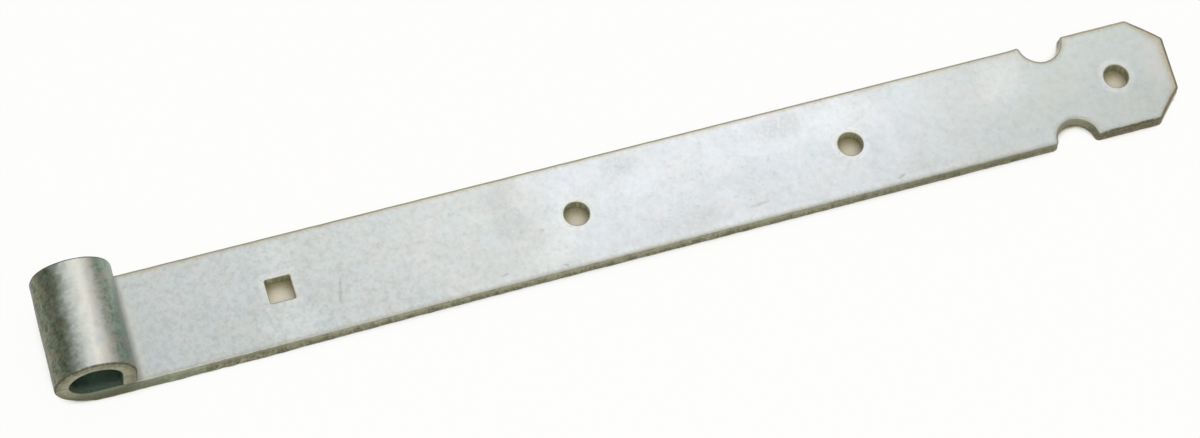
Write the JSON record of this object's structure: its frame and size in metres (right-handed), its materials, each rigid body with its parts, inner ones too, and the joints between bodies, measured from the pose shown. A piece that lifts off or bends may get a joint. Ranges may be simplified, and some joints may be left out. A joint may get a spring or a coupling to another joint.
{
  "type": "strap hinge leaf",
  "caption": "Long flat steel strap of a gate hinge, with one end rolled into an eye for a pin, bolt holes along it, a notch in each edge and a cropped tip.",
  "frame": {"origin": "middle of the rolled eye's bore, on its axis and halfway across the bar", "axes": "+X along the strap from the eye to the tip, +Y along the bore's axis, +Z out of the face that the eye stands on"},
  "size_m": [0.4142, 0.04, 0.0285],
  "materials": {
    "zinc_plate": "bright zinc plating, satin, with duller khaki cut edges"
  },
  "bodies": {
    "root": {"hinge_strap": "zinc_plate"}
  },
  "joints": []
}
